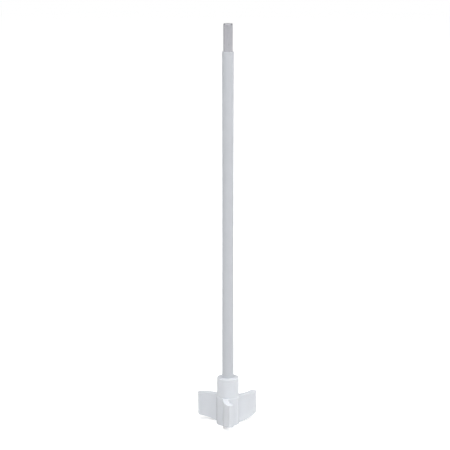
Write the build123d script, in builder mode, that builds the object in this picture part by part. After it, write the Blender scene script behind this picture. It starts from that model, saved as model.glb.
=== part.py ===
from build123d import *
from math import asin, cos, degrees, hypot, radians, sin, sqrt, tan
import os

os.makedirs("parts", exist_ok=True)

# Stirrer shaft with a fixed impeller, for an overhead stirrer.
# It stands on the flat foot of its hub. The origin is the middle of that foot, +Z runs up the
# shaft to the bare end that goes into the chuck, and the tip of the first blade points along -Y.

# Shaft: a round steel rod in a PTFE sleeve
overall_length = 350.0
shank_diameter = 8.0
shank_length = 23.5
shank_end_radius = 1.0
sleeve_diameter = 10.0
sleeve_wall = 1.2
sleeve_end_radius = 0.15

# Impeller: hub, neck and blades cut from one piece of PTFE
hub_diameter = 20.0
hub_height = 25.0
neck_diameter = 19.0
neck_height = 17.0
blade_count = 3
tip_circle_diameter = 60.0
blade_curve_radius = 25.0
blade_thickness = 5.0
foot_diameter = 19.4
underside_angle = 15.0
root_radius = 1.0
edge_radius = 0.3

# How the shaft sits in the impeller
spigot_length = 12.0
spigot_wall = 1.0
stub_diameter = 6.0
stub_length = 12.0
stub_chamfer = 0.8
end_gap = 0.5
hub_floor_thickness = 5.5
fit_clearance = 0.05

# Heights above the foot, and radii, that several pieces share
neck_top = hub_height + neck_height
spigot_foot = neck_top - spigot_length
sleeve_top = overall_length - shank_length
stub_foot = hub_floor_thickness + end_gap
core_shoulder = stub_foot + stub_length
shank_radius = shank_diameter / 2
sleeve_radius = sleeve_diameter / 2
core_radius = sleeve_radius - sleeve_wall
spigot_radius = core_radius + spigot_wall
stub_radius = stub_diameter / 2
hub_radius = hub_diameter / 2
tip_radius = tip_circle_diameter / 2

# Core rod: bright stainless bar. The bare shank at the top is full size, with a rounded edge
# that enters a chuck. Under the sleeve the rod is turned down, so that a low shoulder holds the
# sleeve's top end. Its foot is a stub, threaded on the real one, that screws into the hub.
with BuildPart() as core_rod:
    for foot, top, radius in (
        (stub_foot, core_shoulder, stub_radius),
        (core_shoulder, sleeve_top, core_radius),
        (sleeve_top, overall_length, shank_radius),
    ):
        with BuildSketch(Plane.XY.offset(foot)):
            Circle(radius)
        extrude(amount=top - foot)
    rod_edges = core_rod.edges().group_by(Axis.Z)
    chamfer(rod_edges[0], stub_chamfer)
    fillet(rod_edges[-1], shank_end_radius)

core_rod.part.label = "core_rod"
export_step(core_rod.part, "parts/core_rod.step")

# Sleeve: PTFE tube shrunk onto the rod, so that the two share one cylinder. Its square top end
# stops under the shank. Its foot is turned down to a spigot that sits in the neck, and the
# shoulder above the spigot closes the joint on top of the neck.
with BuildPart() as shaft_sleeve:
    for foot, top, radius in (
        (spigot_foot, neck_top, spigot_radius),
        (neck_top, sleeve_top, sleeve_radius),
    ):
        with BuildSketch(Plane.XY.offset(foot)):
            Circle(radius)
            Circle(core_radius, mode=Mode.SUBTRACT)
        extrude(amount=top - foot)
    outer_rim = shaft_sleeve.edges().group_by(Axis.Z)[-1].sort_by(SortBy.RADIUS)[-1]
    fillet(outer_rim, min(sleeve_end_radius, sleeve_wall / 3))

shaft_sleeve.part.label = "shaft_sleeve"
export_step(shaft_sleeve.part, "parts/shaft_sleeve.step")

# Blade plan: a strip between two arcs about one centre. The outer arc runs from the shaft's
# axis to the tip, so its centre stands level with the middle of that chord.
half_chord = tip_radius / 2
curve_centre = (sqrt(blade_curve_radius**2 - half_chord**2), -half_chord)
half_sweep = degrees(asin(half_chord / blade_curve_radius))
sector_ends = [
    (
        curve_centre[0] - 2 * blade_curve_radius * cos(radians(turn)),
        curve_centre[1] + 2 * blade_curve_radius * sin(radians(turn)),
    )
    for turn in (half_sweep, 0, -half_sweep)
]

with BuildSketch() as blade_plan:
    with Locations(curve_centre):
        Circle(blade_curve_radius)
        Circle(blade_curve_radius - blade_thickness, mode=Mode.SUBTRACT)
    with BuildLine():
        Polyline(curve_centre, *sector_ends, close=True)
    make_face(mode=Mode.INTERSECT)

# Hub and blades in plan: the cutter leaves a radius where each blade grows out of the hub, and
# the upright edges of the tips are eased.
with BuildSketch() as impeller_plan:
    Circle(hub_radius)
    with PolarLocations(0, blade_count):
        add(blade_plan.sketch)
    corners = impeller_plan.vertices()
    hub_corners = corners.filter_by(lambda corner: hypot(corner.X, corner.Y) < hub_radius + edge_radius)
    fillet(hub_corners, root_radius)
    tip_corners = impeller_plan.vertices().filter_by(
        lambda corner: hypot(corner.X, corner.Y) > tip_radius - blade_thickness
    )
    fillet(tip_corners, edge_radius)

# Impeller: the plan is cut to the height of the hub, its underside is turned to a cone that
# climbs from the foot to the tips, and the neck above is turned slightly smaller than the hub.
foot_radius = foot_diameter / 2
cone_reach = tip_radius + blade_thickness
cone_rise = (cone_reach - foot_radius) * tan(radians(underside_angle))

with BuildPart() as impeller:
    add(impeller_plan.sketch)
    extrude(amount=hub_height)
    with BuildSketch(Plane.XZ.rotated((0, 0, 180 / blade_count))):
        with BuildLine():
            Polyline((foot_radius, 0), (cone_reach, cone_rise), (cone_reach, 0), close=True)
        make_face()
    revolve(axis=Axis.Z, mode=Mode.SUBTRACT)
    fillet(impeller.edges().group_by(Axis.Z)[-1], edge_radius)

    with BuildSketch(Plane.XY.offset(hub_height)):
        Circle(neck_diameter / 2)
    extrude(amount=neck_height)
    fillet(impeller.edges().group_by(Axis.Z)[-1], edge_radius)

    # Stepped hole from the top of the neck: seat of the spigot, bore of the rod, tapped hole
    for hole_foot, hole_radius in (
        (spigot_foot - end_gap, spigot_radius),
        (core_shoulder, core_radius),
        (hub_floor_thickness, stub_radius),
    ):
        with BuildSketch(Plane.XY.offset(hole_foot)):
            Circle(hole_radius + fit_clearance)
        extrude(amount=neck_top - hole_foot, mode=Mode.SUBTRACT)

impeller.part.label = "impeller"
export_step(impeller.part, "parts/impeller.step")
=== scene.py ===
"""Stirrer shaft for an overhead stirrer: a steel rod in a PTFE sleeve, with a PTFE impeller at its foot.

Metres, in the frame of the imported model: the foot of the hub stands on z = 0, +Z runs up the shaft, and the
tip of one blade points along -Y.
"""
import math

import bpy
import numpy as np
from mathutils import Matrix, Vector


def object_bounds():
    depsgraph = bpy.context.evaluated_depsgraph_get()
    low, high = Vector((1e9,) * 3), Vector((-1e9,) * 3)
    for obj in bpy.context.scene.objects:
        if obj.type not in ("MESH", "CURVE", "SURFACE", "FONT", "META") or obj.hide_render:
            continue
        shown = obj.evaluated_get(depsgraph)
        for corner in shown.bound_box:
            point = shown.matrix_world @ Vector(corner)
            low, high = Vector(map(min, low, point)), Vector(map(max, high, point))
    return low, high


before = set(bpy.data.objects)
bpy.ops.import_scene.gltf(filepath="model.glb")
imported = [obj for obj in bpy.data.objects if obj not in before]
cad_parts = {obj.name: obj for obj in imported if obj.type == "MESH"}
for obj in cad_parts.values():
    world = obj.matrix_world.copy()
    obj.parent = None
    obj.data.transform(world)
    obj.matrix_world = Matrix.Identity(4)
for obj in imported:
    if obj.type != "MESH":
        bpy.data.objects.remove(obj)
cad_low, cad_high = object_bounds()


# Core rod: a bar of stainless steel, ground all over between centres, with its top end faced square, rounded
# and polished on the lathe. The top is bare for the chuck, and the rest is inside the sleeve and the hub.

mm = 0.001


def srgb(red, green, blue):
    """A colour given as screen values from 0 to 255, as linear values: the sRGB curve taken backwards."""
    value = np.array([red, green, blue]) / 255
    linear = np.where(value <= 0.04045, value / 12.92, ((value + 0.055) / 1.055) ** 2.4)
    return (*linear.tolist(), 1.0)


def new_material(name):
    """A material with one Principled shader, and its node tree, shader and texture coordinates."""
    material = bpy.data.materials.new(name)
    material.use_nodes = True
    tree = material.node_tree
    return material, tree, tree.nodes["Principled BSDF"], tree.nodes.new("ShaderNodeTexCoord")


def new_group(name, inputs, output):
    """A shader node group with number or vector inputs and one number output, and its two end nodes."""
    tree = bpy.data.node_groups.new(name, "ShaderNodeTree")
    kinds = {"number": "NodeSocketFloat", "vector": "NodeSocketVector"}
    for socket_name, kind in inputs.items():
        tree.interface.new_socket(socket_name, in_out="INPUT", socket_type=kinds[kind])
    tree.interface.new_socket(output, in_out="OUTPUT", socket_type=kinds["number"])
    return tree, tree.nodes.new("NodeGroupInput"), tree.nodes.new("NodeGroupOutput")


def feed(tree, socket, value):
    """Joins a socket to an output, or sets it to a plain value."""
    if isinstance(value, bpy.types.NodeSocket):
        tree.links.new(value, socket)
    else:
        socket.default_value = value


def use_group(tree, group, **inputs):
    """A group node in that tree, as its output: an underscore in a name stands for a space."""
    node = tree.nodes.new("ShaderNodeGroup")
    node.node_tree = group
    for name, value in inputs.items():
        feed(tree, node.inputs[name.replace("_", " ")], value)
    return node.outputs[0]


def maths(tree, operation, *values, clamp=False):
    """One Math node, whose inputs are outputs of others or plain numbers, as its own output."""
    node = tree.nodes.new("ShaderNodeMath")
    node.operation = operation
    node.use_clamp = clamp
    for socket, value in zip(node.inputs, values):
        feed(tree, socket, value)
    return node.outputs[0]


def parts_of(tree, vector):
    """The x, y and z of a vector, as three outputs."""
    node = tree.nodes.new("ShaderNodeSeparateXYZ")
    tree.links.new(vector, node.inputs[0])
    return node.outputs


def noise(tree, vector, scale, detail=2.0, roughness=0.5):
    """The value of a Noise Texture, from 0 to 1, read at that vector."""
    node = tree.nodes.new("ShaderNodeTexNoise")
    for name, value in (("Vector", vector), ("Scale", scale), ("Detail", detail), ("Roughness", roughness)):
        feed(tree, node.inputs[name], value)
    return node.outputs["Fac"]


def from_axis(tree, x, y):
    """The distance from the shaft's axis: the root of x squared plus y squared."""
    squares = maths(tree, "ADD", maths(tree, "MULTIPLY", x, x), maths(tree, "MULTIPLY", y, y))
    return maths(tree, "SQRT", squares)


def lathe_marks_group():
    """Fine rings left by a lathe or a grinding wheel, as a value from 0 to 1.

    A ring's value is a noise read along one length only: the height on a wall, and the distance from the
    axis on a face that looks up or down. The place round the axis moves the noise a little, so that no ring
    is the same all the way round.
    """
    looks_up, ring_detail, ring_roughness = 0.9, 3.0, 0.6
    tree, start, end = new_group(
        "lathe_marks",
        {"Position": "vector", "Normal": "vector", "Rings per metre": "number", "Drift": "number"},
        "Marks",
    )
    x, y, z = parts_of(tree, start.outputs["Position"])
    upright = maths(tree, "ABSOLUTE", parts_of(tree, start.outputs["Normal"])["Z"])
    on_face = maths(tree, "GREATER_THAN", upright, looks_up)
    along_wall = maths(tree, "MULTIPLY", z, maths(tree, "SUBTRACT", 1.0, on_face))
    along = maths(tree, "ADD", along_wall, maths(tree, "MULTIPLY", from_axis(tree, x, y), on_face))
    place = tree.nodes.new("ShaderNodeCombineXYZ")
    for name, value, scale in (("X", x, "Drift"), ("Y", y, "Drift"), ("Z", along, "Rings per metre")):
        tree.links.new(maths(tree, "MULTIPLY", value, start.outputs[scale]), place.inputs[name])
    rings = noise(tree, place.outputs[0], 1.0, ring_detail, ring_roughness)
    tree.links.new(rings, end.inputs["Marks"])
    return tree


def spread(tree, value, low, high):
    """A value from 0 to 1 spread over another range, without a limit at its ends."""
    node = tree.nodes.new("ShaderNodeMapRange")
    node.clamp = False
    for name, number in (("Value", value), ("To Min", low), ("To Max", high)):
        feed(tree, node.inputs[name], number)
    return node.outputs["Result"]


def shade(tree, shader, factor, dark, light):
    """Feeds the shader's base colour with a mix of two shades."""
    node = tree.nodes.new("ShaderNodeMix")
    node.data_type = "RGBA"
    for name, value in (("Factor", factor), ("A", dark), ("B", light)):
        feed(tree, node.inputs[name], value)
    tree.links.new(node.outputs["Result"], shader.inputs["Base Color"])


def bump(tree, shader, height, depth):
    """Feeds a height from 0 to 1 to the shader's normal, as a relief of that depth in metres."""
    node = tree.nodes.new("ShaderNodeBump")
    for name, value in (("Strength", 1.0), ("Distance", depth), ("Height", height)):
        feed(tree, node.inputs[name], value)
    tree.links.new(node.outputs["Normal"], shader.inputs["Normal"])


lathe_marks = lathe_marks_group()
dark_steel, light_steel = srgb(188, 188, 194), srgb(193, 193, 198)
smoothest_ground, roughest_ground = 0.23, 0.29
polished_by = 0.12
grinding_rings, grinding_depth = 20000.0, 0.0003 * mm
ring_drift = 60.0
end_rounding = 1.0 * mm


def ground_steel():
    """Bright grey metal with the fine rings of a grinding wheel, smoother from where its end is rounded."""
    material, tree, shader, coordinates = new_material("ground_steel")
    position, facing = coordinates.outputs["Object"], coordinates.outputs["Normal"]
    marks = use_group(
        tree, lathe_marks, Position=position, Normal=facing, Rings_per_metre=grinding_rings, Drift=ring_drift
    )
    shade(tree, shader, marks, dark_steel, light_steel)
    shader.inputs["Metallic"].default_value = 1.0
    polished = maths(tree, "GREATER_THAN", parts_of(tree, position)["Z"], cad_high.z - end_rounding)
    ground = spread(tree, marks, smoothest_ground, roughest_ground)
    gloss = maths(tree, "MULTIPLY_ADD", polished, -polished_by, ground)
    tree.links.new(gloss, shader.inputs["Roughness"])
    bump(tree, shader, marks, grinding_depth)
    return material


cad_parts["core_rod"].material_slots[0].material = ground_steel()


# Shaft sleeve: a tube of PTFE drawn over the rod and shrunk onto it, cut square at the top. The steel shows
# through its wall a little, so it looks greyer than the solid PTFE of the impeller.

def waxy_clouds_group():
    """The faint clouds of sintered PTFE, from 0 to 1: a coarse noise with a finer one on top of it."""
    coarse_clouds, fine_clouds, fine_share = 140.0, 900.0, 0.35
    tree, start, end = new_group("waxy_clouds", {"Position": "vector"}, "Clouds")
    coarse = noise(tree, start.outputs["Position"], coarse_clouds)
    fine = noise(tree, start.outputs["Position"], fine_clouds, detail=3.0)
    mixed = maths(tree, "MULTIPLY_ADD", coarse, 1 - fine_share, maths(tree, "MULTIPLY", fine, fine_share))
    tree.links.new(mixed, end.inputs["Clouds"])
    return tree


def set_ptfe(tree, shader, position, dark, light):
    """What all PTFE has in common: clouds, a low refractive index, and light that wanders inside it."""
    shade(tree, shader, use_group(tree, waxy_clouds, Position=position), dark, light)
    for name, value in (
        ("IOR", 1.35),
        ("Specular IOR Level", 1.0),
        ("Subsurface Weight", 0.06),
        ("Subsurface Radius", (1.0, 1.0, 1.0)),
        ("Subsurface Scale", 0.5 * mm),
    ):
        shader.inputs[name].default_value = value


def stretched_up(tree, position, squeeze):
    """Positions whose height is squeezed, so that a pattern read there runs in upright lines."""
    node = tree.nodes.new("ShaderNodeMapping")
    node.inputs["Scale"].default_value = (1.0, 1.0, squeeze)
    tree.links.new(position, node.inputs["Vector"])
    return node.outputs[0]


waxy_clouds = waxy_clouds_group()
dark_sleeve, light_sleeve = srgb(200, 203, 208), srgb(207, 210, 215)
smoothest_drawn, roughest_drawn = 0.34, 0.38
die_lines, die_line_squeeze, die_line_depth = 2200.0, 0.012, 0.002 * mm


def drawn_ptfe():
    """Greyish white PTFE with faint lines along the tube, from the die that it was drawn through."""
    material, tree, shader, coordinates = new_material("drawn_ptfe")
    position = coordinates.outputs["Object"]
    set_ptfe(tree, shader, position, dark_sleeve, light_sleeve)
    lines = noise(tree, stretched_up(tree, position, die_line_squeeze), die_lines)
    tree.links.new(spread(tree, lines, smoothest_drawn, roughest_drawn), shader.inputs["Roughness"])
    bump(tree, shader, lines, die_line_depth)
    return material


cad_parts["shaft_sleeve"].material_slots[0].material = drawn_ptfe()


# Impeller: one piece of solid PTFE. The neck, the hub and the cone under the blades are turned, and the
# three curved blades are milled with an upright cutter. The rod screws into it from above.

dark_impeller, light_impeller = srgb(221, 224, 229), srgb(228, 231, 236)
smoothest_cut, roughest_cut = 0.2, 0.22
turning_rings = 9000.0
cutter_lines, cutter_line_squeeze = 1500.0, 0.02
cutting_depth = 0.003 * mm
turned_radius = 10.1 * mm


def machined_ptfe():
    """White PTFE with turned rings on the hub and neck, and the upright marks of a cutter on the blades."""
    material, tree, shader, coordinates = new_material("machined_ptfe")
    position, facing = coordinates.outputs["Object"], coordinates.outputs["Normal"]
    set_ptfe(tree, shader, position, dark_impeller, light_impeller)
    rings = use_group(
        tree, lathe_marks, Position=position, Normal=facing, Rings_per_metre=turning_rings, Drift=ring_drift
    )
    cuts = noise(tree, stretched_up(tree, position, cutter_line_squeeze), cutter_lines)
    x, y, _ = parts_of(tree, position)
    milled = maths(tree, "GREATER_THAN", from_axis(tree, x, y), turned_radius)
    turned = maths(tree, "SUBTRACT", 1.0, milled)
    marks = maths(tree, "MULTIPLY_ADD", rings, turned, maths(tree, "MULTIPLY", cuts, milled))
    tree.links.new(spread(tree, marks, smoothest_cut, roughest_cut), shader.inputs["Roughness"])
    bump(tree, shader, marks, cutting_depth)
    return material


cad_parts["impeller"].material_slots[0].material = machined_ptfe()


# Floor: white paper under the stirrer, out to the horizon. It also glows for the camera and for mirrors.
# Close by, the camera sees about half of that glow, so that the soft shadow under the blades shows, and
# mirrors see none of it. From below it can be seen through, and it has an opening under the foot, which
# lets light reach the foot's face.

paper_reflects = 0.8
far_glow = 0.9
seen_near_glow, seen_near, seen_far = 0.42, 0.15, 0.8
mirrored_near_glow, mirrored_near, mirrored_far = 0.0, 0.8, 1.6
paper_radius, opening_radius = 6.0, 9.6 * mm
paper_rings, paper_spokes = 6, 96


def ramp(tree, value, start, end, low, high):
    """A value that grows smoothly from low to high while another one grows from start to end."""
    node = tree.nodes.new("ShaderNodeMapRange")
    node.interpolation_type = "SMOOTHSTEP"
    names = ("Value", "From Min", "From Max", "To Min", "To Max")
    for name, number in zip(names, (value, start, end, low, high)):
        feed(tree, node.inputs[name], number)
    return node.outputs["Result"]


def kinds_of_ray(tree):
    """Two outputs that are 1 for a ray from the camera, and for one from a mirror or glass, and else 0."""
    path = tree.nodes.new("ShaderNodeLightPath").outputs
    mirror_ray = maths(tree, "ADD", path["Is Glossy Ray"], path["Is Transmission Ray"], clamp=True)
    return path["Is Camera Ray"], mirror_ray


def white_paper():
    """Matt paper with a glow that only the camera and mirrors see, which grows with distance for each."""
    material = bpy.data.materials.new("white_paper")
    material.use_nodes = True
    tree = material.node_tree
    tree.nodes.remove(tree.nodes["Principled BSDF"])
    camera_ray, mirror_ray = kinds_of_ray(tree)
    x, y, _ = parts_of(tree, tree.nodes.new("ShaderNodeTexCoord").outputs["Object"])
    away = from_axis(tree, x, y)
    seen = ramp(tree, away, seen_near, seen_far, seen_near_glow, far_glow)
    mirrored = ramp(tree, away, mirrored_near, mirrored_far, mirrored_near_glow, far_glow)
    strength = maths(tree, "MULTIPLY_ADD", camera_ray, seen, maths(tree, "MULTIPLY", mirror_ray, mirrored))
    glow = tree.nodes.new("ShaderNodeEmission")
    tree.links.new(strength, glow.inputs["Strength"])
    matt = tree.nodes.new("ShaderNodeBsdfDiffuse")
    matt.inputs["Color"].default_value = (paper_reflects, paper_reflects, paper_reflects, 1.0)
    paper = tree.nodes.new("ShaderNodeAddShader")
    tree.links.new(matt.outputs[0], paper.inputs[0])
    tree.links.new(glow.outputs[0], paper.inputs[1])
    underside = tree.nodes.new("ShaderNodeNewGeometry").outputs["Backfacing"]
    window = tree.nodes.new("ShaderNodeMixShader")
    tree.links.new(maths(tree, "MULTIPLY", underside, camera_ray), window.inputs["Fac"])
    tree.links.new(paper.outputs[0], window.inputs[1])
    tree.links.new(tree.nodes.new("ShaderNodeBsdfTransparent").outputs[0], window.inputs[2])
    tree.links.new(window.outputs[0], tree.nodes["Material Output"].inputs["Surface"])
    return material


def flat_ring(inner_radius, outer_radius, rings, spokes):
    """A flat round sheet at z = 0 with a round opening: a grid of distance from the middle and of angle."""
    distance = np.geomspace(inner_radius, outer_radius, rings + 1)[:, None]
    angle = np.linspace(0, 2 * np.pi, spokes, endpoint=False)[None, :]
    points = np.stack([distance * np.cos(angle), distance * np.sin(angle), 0 * distance * angle], -1)
    first = np.arange(rings * spokes).reshape(rings, spokes)
    turned = np.roll(first, -1, 1)
    quads = np.stack([first, first + spokes, turned + spokes, turned], -1)
    mesh = bpy.data.meshes.new("paper_floor")
    mesh.from_pydata(points.reshape(-1, 3).tolist(), [], quads.reshape(-1, 4).tolist())
    return mesh


scene = bpy.context.scene
sheet = flat_ring(opening_radius, paper_radius, paper_rings, paper_spokes)
sheet.materials.append(white_paper())
floor = bpy.data.objects.new("paper_floor", sheet)
scene.collection.objects.link(floor)


# Light: six square lamps, with the strongest one high in front on the left. Mirrors don't see the lamps. They
# see a room of their own, and not the white one that the camera sees: a white floor, walls that are almost
# black, a ceiling brighter than white, and two grey cards that stand behind the stirrer on either side. The
# cards give the steel its darker edges.

lamp_width, lamp_distance = 1.2, 2.2


def towards(azimuth, elevation):
    """The direction at an azimuth (0 is in front, 90 on the right) and an elevation, in degrees."""
    turn, rise = math.radians(azimuth), math.radians(elevation)
    return Vector((math.sin(turn) * math.cos(rise), -math.cos(turn) * math.cos(rise), math.sin(rise)))


def soft_lamp(name, azimuth, elevation, power):
    """A square lamp in that direction from the middle of the stirrer, which it looks at."""
    away = towards(azimuth, elevation)
    data = bpy.data.lights.new(name, "AREA")
    data.size = lamp_width
    data.energy = power
    lamp = bpy.data.objects.new(name, data)
    place = Matrix.Translation((cad_low + cad_high) / 2 + away * lamp_distance)
    lamp.matrix_world = place @ away.to_track_quat("Z", "Y").to_matrix().to_4x4()
    lamp.visible_glossy = False
    scene.collection.objects.link(lamp)


for name, azimuth, elevation, power in (
    ("high_front_lamp", -30, 60, 23.6),
    ("low_front_lamp", 0, 20, 9.6),
    ("right_lamp", 70, 40, 17.2),
    ("top_lamp", 0, 88, 19.1),
    ("rear_right_lamp", 130, 12, 16.4),
    ("rear_left_lamp", -140, 12, 8.2),
):
    soft_lamp(name, azimuth, elevation, power)


card_height, card_distance, card_brightness = 1.2, 1.0, 0.65


def grey_card(name, azimuth, width):
    """An upright card on the floor, which only mirrors see, facing the stirrer: a grid of across and up."""
    away = towards(azimuth, 0)
    side = Vector((0, 0, 1)).cross(away)
    across, up = np.meshgrid(np.array([-0.5, 0.5]) * width, np.array([0.0, 1.0]) * card_height)
    points = np.array(away) * card_distance + across[..., None] * np.array(side)
    points[..., 2] += up
    mesh = bpy.data.meshes.new(name)
    mesh.from_pydata(points.reshape(-1, 3).tolist(), [], [(0, 1, 3, 2)])
    card = bpy.data.objects.new(name, mesh)
    material = bpy.data.materials.new(name)
    material.use_nodes = True
    tree = material.node_tree
    tree.nodes.remove(tree.nodes["Principled BSDF"])
    glow = tree.nodes.new("ShaderNodeEmission")
    glow.inputs["Strength"].default_value = card_brightness
    tree.links.new(glow.outputs[0], tree.nodes["Material Output"].inputs["Surface"])
    mesh.materials.append(material)
    card.visible_camera = card.visible_diffuse = card.visible_shadow = False
    scene.collection.objects.link(card)


grey_card("left_card", -130, 0.8)
grey_card("right_card", 130, 0.45)


# Room: white to the camera. On things it sheds a dim light from all round, and a bright one from underneath
# that reaches only the foot's face, through the floor's opening.

room_light, underfoot_light, underfoot_height = 0.1, 0.8, -0.3
mirrored_floor, mirrored_walls, mirrored_ceiling = 1.0, 0.08, 1.7
walls_end, ceiling_starts = 0.35, 0.65


def white_room():
    """A world whose strength depends on the height of the direction and on what kind of ray sees it."""
    world = bpy.data.worlds.new("white_room")
    world.use_nodes = True
    tree = world.node_tree
    height = parts_of(tree, tree.nodes.new("ShaderNodeTexCoord").outputs["Generated"])["Z"]
    upper = ramp(tree, height, walls_end, ceiling_starts, mirrored_walls, mirrored_ceiling)
    lower = maths(tree, "LESS_THAN", height, 0.0)
    mirrored = maths(tree, "MULTIPLY_ADD", lower, mirrored_floor - mirrored_walls, upper)
    underfoot = maths(tree, "LESS_THAN", height, underfoot_height)
    shed = maths(tree, "MULTIPLY_ADD", underfoot, underfoot_light - room_light, room_light)
    camera_ray, mirror_ray = kinds_of_ray(tree)
    either = maths(tree, "ADD", camera_ray, mirror_ray, clamp=True)
    strength = maths(tree, "MULTIPLY_ADD", mirrored, mirror_ray, camera_ray)
    strength = maths(tree, "MULTIPLY_ADD", shed, maths(tree, "SUBTRACT", 1.0, either), strength)
    background = tree.nodes["Background"]
    background.inputs["Color"].default_value = (1.0, 1.0, 1.0, 1.0)
    tree.links.new(strength, background.inputs["Strength"])
    return world


scene.world = white_room()


# Camera: the photograph's own, moved straight back from the foot until the stirrer's whole length fills the
# same rows of the picture. So the foot and the top end are seen at the same angles as in the photograph.

pictured_height = 142 * mm
photo_distance, photo_height = 529.5 * mm, 177.35 * mm
photo_azimuth, photo_pitch, photo_yaw = -2.35, -11.24, -0.11
photo_focal_pixels, photo_pixels = 1548.3, 450
sensor_millimetres = 36.0
moved_back = cad_high.z / pictured_height

camera_data = bpy.data.cameras.new("camera")
camera_data.sensor_width = sensor_millimetres
camera_data.lens = sensor_millimetres * photo_focal_pixels / photo_pixels
camera = bpy.data.objects.new("camera", camera_data)
scene.collection.objects.link(camera)
camera_turn = math.radians(photo_azimuth)
camera_distance = photo_distance * moved_back
camera_place = Vector((
    math.sin(camera_turn) * camera_distance,
    -math.cos(camera_turn) * camera_distance,
    photo_height * moved_back,
))
heading = Matrix.Rotation(camera_turn - math.radians(photo_yaw), 4, "Z")
pitch = Matrix.Rotation(math.radians(90 + photo_pitch), 4, "X")
camera.matrix_world = Matrix.Translation(camera_place) @ heading @ pitch
scene.camera = camera
scene.view_settings.view_transform = "Standard"
